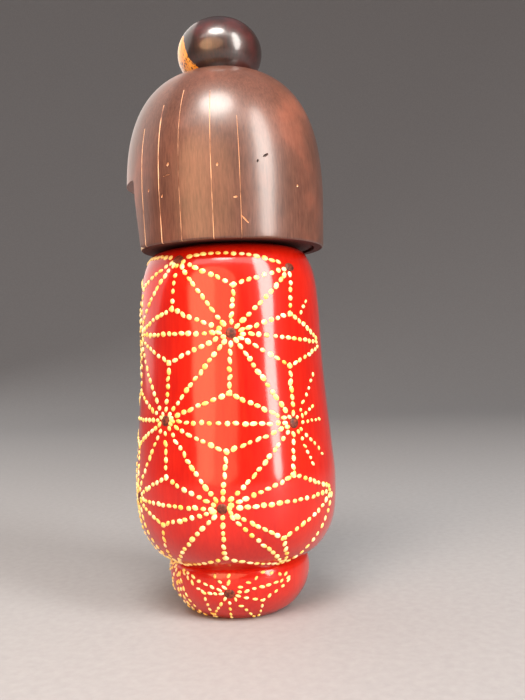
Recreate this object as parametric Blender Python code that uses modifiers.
"""Kokeshi doll: turned wooden pieces, joined by hidden pegs.

The doll stands on the ground plane with its base centred on the origin, and it faces -Y.
The head, with its hair cap and bun, turns about the vertical axis on the neck peg.
"""

import math

import bmesh
import bpy

MM = 0.001  # the constants below are millimetres, and Blender's unit is the metre

# Fit between neighbouring pieces
GAP = 0.3

# Body: one turned piece, from the base to the shoulders. (radius, height) points.
BODY_TOP = 132.6
BODY_SIDE = [
    (24.0, BODY_TOP),
    (28.6, 130.3),
    (31.9, 122.8),
    (33.3, 110.0),
    (33.9, 90.0),
    (36.1, 61.0),
    (37.1, 47.0),
    (35.9, 33.0),
    (31.2, 24.0),
    (24.6, 19.2),
]
FOOT_SIDE = [
    (24.6, 19.2),
    (25.7, 17.6),
    (26.0, 13.5),
    (24.6, 8.0),
    (21.2, 3.0),
    (18.2, 0.6),
    (17.2, 0.0),
]

# Neck peg: glued into the face core, free to turn in the body's socket
NECK_PEG_RADIUS = 6.0
NECK_PEG_BOTTOM = 112.5
NECK_PEG_TOP = 150.0
PEG_CHAMFER = 0.8
SOCKET_END_SPACE = 0.5

# Hair cap: a bowl turned over the face core, with a rounded dome
CAP_RIM = 132.3
CAP_RIM_RADIUS = 36.0
CAP_EDGE = 0.8
CAP_WIDEST = 150.0
CAP_WIDEST_RADIUS = 36.6
CAP_APEX = 199.2
CAP_FLAT_TOP = 197.4
DOME_EXPONENT = 2.65

# Face core: a drum with a rounded crown and chin, glued inside the cap
CORE_RADIUS = 32.2
CORE_BOTTOM = BODY_TOP + GAP
CORE_TOP = 176.0
CORE_CHIN = 1.2
CORE_CROWN = 16.0

# Window: the opening cut through the front of the cap, with a level fringe above it
WINDOW_TOP = 157.0
WINDOW_TOP_HALF_ANGLE = 46.0
WINDOW_RIM_HALF_ANGLE = 50.0
WINDOW_TOP_CORNER = 1.5
LOCK_CORNER = 1.5
LOCK_RUNOUT = 0.4

# Hair bun: an oblate ball with a flat under it, pegged to the dome
BUN_RADIUS = 15.8
BUN_HALF_HEIGHT = 13.4
BUN_CENTRE = 206.6
BUN_BOTTOM = CAP_FLAT_TOP + GAP
BUN_PEG_RADIUS = 2.5
BUN_PEG_BOTTOM = 186.0
BUN_PEG_TOP = 206.0

# Facets round the axis
BODY_STEPS = 48
BUN_STEPS = 32
PEG_STEPS = 20


def clear_scene():
    for item in list(bpy.data.objects):
        bpy.data.objects.remove(item, do_unlink=True)


def new_collection(name):
    collection = bpy.data.collections.new(name)
    bpy.context.scene.collection.children.link(collection)
    return collection


def painted_wood(name, color, roughness, coat=0.0):
    """A Principled material from a linear colour, with an optional lacquer coat."""
    material = bpy.data.materials.new(name)
    material.use_nodes = True
    shader = material.node_tree.nodes["Principled BSDF"]
    shader.inputs["Base Color"].default_value = (*color, 1.0)
    shader.inputs["Roughness"].default_value = roughness
    shader.inputs["Metallic"].default_value = 0.0
    shader.inputs["Coat Weight"].default_value = coat
    return material


def catmull_rom(a, b, c, d, t):
    """The value between b and c at t, where a and d come before and after them."""
    bend = (2 * a - 5 * b + 4 * c - d) * t**2 + (3 * b - a - 3 * c + d) * t**3
    return 0.5 * (2 * b + (c - a) * t + bend)


def smooth_through(points, pieces):
    """A Catmull-Rom curve through the points, with that many pieces in each span."""
    before = [2 * a - b for a, b in zip(points[0], points[1])]
    after = [2 * a - b for a, b in zip(points[-1], points[-2])]
    row = [before, *points, after]
    curve = []
    for i in range(1, len(row) - 2):
        span = list(zip(row[i - 1], row[i], row[i + 1], row[i + 2]))
        curve += [[catmull_rom(*values, k / pieces) for values in span] for k in range(pieces)]
    return [*curve, points[-1]]


def arc(centre, radius, start, end, pieces):
    """Points on a circle from one angle to another, in degrees, both ends included."""
    angles = [math.radians(start + (end - start) * k / pieces) for k in range(pieces + 1)]
    return [(centre[0] + radius * math.cos(a), centre[1] + radius * math.sin(a)) for a in angles]


def turned(name, outline, steps, material, collection):
    """A solid of revolution about Z. The outline's (radius, height) points run down its outer side."""
    mesh = bpy.data.meshes.new(name)
    points = [(radius * MM, 0.0, height * MM) for radius, height in outline]
    mesh.from_pydata(points, [(i, i + 1) for i in range(len(points) - 1)], [])
    mesh.materials.append(material)
    item = bpy.data.objects.new(name, mesh)
    collection.objects.link(item)
    screw = item.modifiers.new("Turn", "SCREW")
    screw.axis = "Z"
    screw.angle = math.tau
    screw.steps = steps
    screw.render_steps = steps
    screw.use_merge_vertices = True
    screw.merge_threshold = 0.00001
    screw.use_smooth_shade = True
    return item


def peg(name, radius, bottom, top, material, collection):
    outline = [
        (0.0, top),
        (radius - PEG_CHAMFER, top),
        (radius, top - PEG_CHAMFER),
        (radius, bottom + PEG_CHAMFER),
        (radius - PEG_CHAMFER, bottom),
        (0.0, bottom),
    ]
    return turned(name, outline, PEG_STEPS, material, collection)


def body_outline():
    socket = NECK_PEG_RADIUS + GAP
    end = NECK_PEG_BOTTOM - SOCKET_END_SPACE
    side = smooth_through(BODY_SIDE, 3)
    foot = smooth_through(FOOT_SIDE, 2)
    return [(0.0, end), (socket, end), (socket, BODY_TOP), *side, *foot[1:], (0.0, 0.0)]


def core_outline(grow=0.0):
    """The drum's outer side from the crown's middle to its bottom edge, grown outward by a gap."""
    radius = CORE_RADIUS + grow
    top = CORE_TOP + grow
    crown = arc((radius - CORE_CROWN, top - CORE_CROWN), CORE_CROWN, 90, 0, 6)
    return [(0.0, top), *crown], radius


def face_outline():
    crown, radius = core_outline()
    chin = arc((radius - CORE_CHIN, CORE_BOTTOM + CORE_CHIN), CORE_CHIN, 0, -90, 5)
    socket = NECK_PEG_RADIUS + GAP
    end = NECK_PEG_TOP + SOCKET_END_SPACE
    return [*crown, *chin, (socket, CORE_BOTTOM), (socket, end), (0.0, end)]


def dome_radius(height):
    """The cap's outer radius above its widest place: a superellipse."""
    rise = (height - CAP_WIDEST) / (CAP_APEX - CAP_WIDEST)
    return CAP_WIDEST_RADIUS * (1 - rise**DOME_EXPONENT) ** (1 / DOME_EXPONENT)


def cap_outline():
    socket = BUN_PEG_RADIUS + GAP
    end = BUN_PEG_BOTTOM - SOCKET_END_SPACE
    rise = CAP_FLAT_TOP - CAP_WIDEST
    # heights crowd together toward the top, where the dome curves most
    heights = [CAP_WIDEST + rise * math.sin(math.pi / 2 * k / 10) for k in range(10, -1, -1)]
    dome = [(dome_radius(height), height) for height in heights]
    edge_centre = (CAP_RIM_RADIUS - CAP_EDGE, CAP_RIM + CAP_EDGE)
    edge = arc(edge_centre, CAP_EDGE, 0, -90, 3)
    crown, hollow_radius = core_outline(GAP)
    hollow = [(hollow_radius, CAP_RIM), *reversed(crown)]
    return [(0.0, end), (socket, end), (socket, CAP_FLAT_TOP), *dome, *edge, *hollow]


def bun_outline():
    socket = BUN_PEG_RADIUS + GAP
    end = BUN_PEG_TOP + SOCKET_END_SPACE
    lowest = math.degrees(math.asin((BUN_BOTTOM - BUN_CENTRE) / BUN_HALF_HEIGHT))
    ball = arc((0.0, 0.0), 1.0, 90, lowest, 14)
    side = [(BUN_RADIUS * x, BUN_CENTRE + BUN_HALF_HEIGHT * z) for x, z in ball]
    side[0] = (0.0, side[0][1])
    return [*side, (socket, BUN_BOTTOM), (socket, end), (0.0, end)]


def window_outline():
    """Half of the window in front view, from its top to below the rim: (x, height) points."""
    top_x = dome_radius(WINDOW_TOP) * math.sin(math.radians(WINDOW_TOP_HALF_ANGLE))
    rim_x = CAP_RIM_RADIUS * math.sin(math.radians(WINDOW_RIM_HALF_ANGLE))
    lean = math.atan2(rim_x - top_x, WINDOW_TOP - CAP_RIM)

    # the corner under the fringe, touching the level top and the leaning side
    corner_x = top_x - WINDOW_TOP_CORNER * (1 - math.sin(lean)) / math.cos(lean)
    corner_centre = (corner_x, WINDOW_TOP - WINDOW_TOP_CORNER)
    corner = arc(corner_centre, WINDOW_TOP_CORNER, 90, math.degrees(lean), 3)

    # the rounded lower corner of the side lock, whose arc runs out just below the rim
    lock_rise = LOCK_CORNER - LOCK_RUNOUT
    lock_x = rim_x + (LOCK_CORNER - lock_rise * math.sin(lean)) / math.cos(lean)
    lock = arc((lock_x, CAP_RIM + lock_rise), LOCK_CORNER, 180 + math.degrees(lean), 270, 5)
    return [*corner, *lock, (lock_x, CAP_RIM - LOCK_CORNER)]


def window_cutter(collection):
    """The window's outline as a flat curve, thickened across the front wall and made a mesh."""
    half = window_outline()
    outline = [*half, *[(-x, z) for x, z in reversed(half)]]
    curve = bpy.data.curves.new("window_outline", "CURVE")
    curve.dimensions = "2D"
    curve.fill_mode = "BOTH"
    near = CAP_WIDEST_RADIUS + 3.0
    far = 12.0
    curve.extrude = (near - far) / 2 * MM
    spline = curve.splines.new("POLY")
    spline.points.add(len(outline) - 1)
    for point, (x, z) in zip(spline.points, outline):
        point.co = (x * MM, z * MM, 0.0, 1.0)
    spline.use_cyclic_u = True
    flat = bpy.data.objects.new("window_outline", curve)
    collection.objects.link(flat)
    flat.rotation_euler.x = math.pi / 2
    flat.location.y = -(near + far) / 2 * MM
    bpy.context.view_layer.update()
    shape = flat.evaluated_get(bpy.context.evaluated_depsgraph_get())
    mesh = bpy.data.meshes.new_from_object(shape)
    cleaner = bmesh.new()
    cleaner.from_mesh(mesh)
    bmesh.ops.remove_doubles(cleaner, verts=cleaner.verts, dist=0.00001)
    bmesh.ops.recalc_face_normals(cleaner, faces=cleaner.faces)
    cleaner.to_mesh(mesh)
    cleaner.free()
    cutter = bpy.data.objects.new("window_cutter", mesh)
    collection.objects.link(cutter)
    cutter.matrix_world = flat.matrix_world
    bpy.data.objects.remove(flat, do_unlink=True)
    cutter.hide_render = True
    cutter.display_type = "WIRE"
    return cutter


def cut(item, cutter):
    boolean = item.modifiers.new("Window", "BOOLEAN")
    boolean.operation = "DIFFERENCE"
    boolean.solver = "EXACT"
    boolean.object = cutter


def turning_head(pieces, collection):
    """An empty on the neck's axis, which the pieces that turn together hang from."""
    pivot = bpy.data.objects.new("head_turn_axis", None)
    pivot.location.z = BODY_TOP * MM
    pivot.empty_display_type = "SINGLE_ARROW"
    pivot.empty_display_size = 0.03
    collection.objects.link(pivot)
    bpy.context.view_layer.update()
    for piece in pieces:
        piece.parent = pivot
        piece.matrix_parent_inverse = pivot.matrix_world.inverted()


def build_doll():
    clear_scene()
    doll = new_collection("kokeshi_doll")
    cutters = new_collection("cutters")

    red_paint = painted_wood("red_lacquer", (0.72, 0.008, 0.006), 0.25, 0.6)
    plain_wood = painted_wood("bare_wood", (0.62, 0.42, 0.24), 0.6)
    face_wood = painted_wood("face_wood", (0.78, 0.60, 0.40), 0.4, 0.2)
    brown_stain = painted_wood("brown_stain", (0.26, 0.11, 0.07), 0.35, 0.4)
    dark_lacquer = painted_wood("dark_lacquer", (0.03, 0.012, 0.009), 0.2, 0.8)

    turned("body", body_outline(), BODY_STEPS, red_paint, doll)
    neck_peg = peg("neck_peg", NECK_PEG_RADIUS, NECK_PEG_BOTTOM, NECK_PEG_TOP, plain_wood, doll)
    face_core = turned("face_core", face_outline(), BODY_STEPS, face_wood, doll)
    hair_cap = turned("hair_cap", cap_outline(), BODY_STEPS, brown_stain, doll)
    cut(hair_cap, window_cutter(cutters))
    bun_peg = peg("bun_peg", BUN_PEG_RADIUS, BUN_PEG_BOTTOM, BUN_PEG_TOP, plain_wood, doll)
    hair_bun = turned("hair_bun", bun_outline(), BUN_STEPS, dark_lacquer, doll)
    turning_head([neck_peg, face_core, hair_cap, bun_peg, hair_bun], doll)


build_doll()
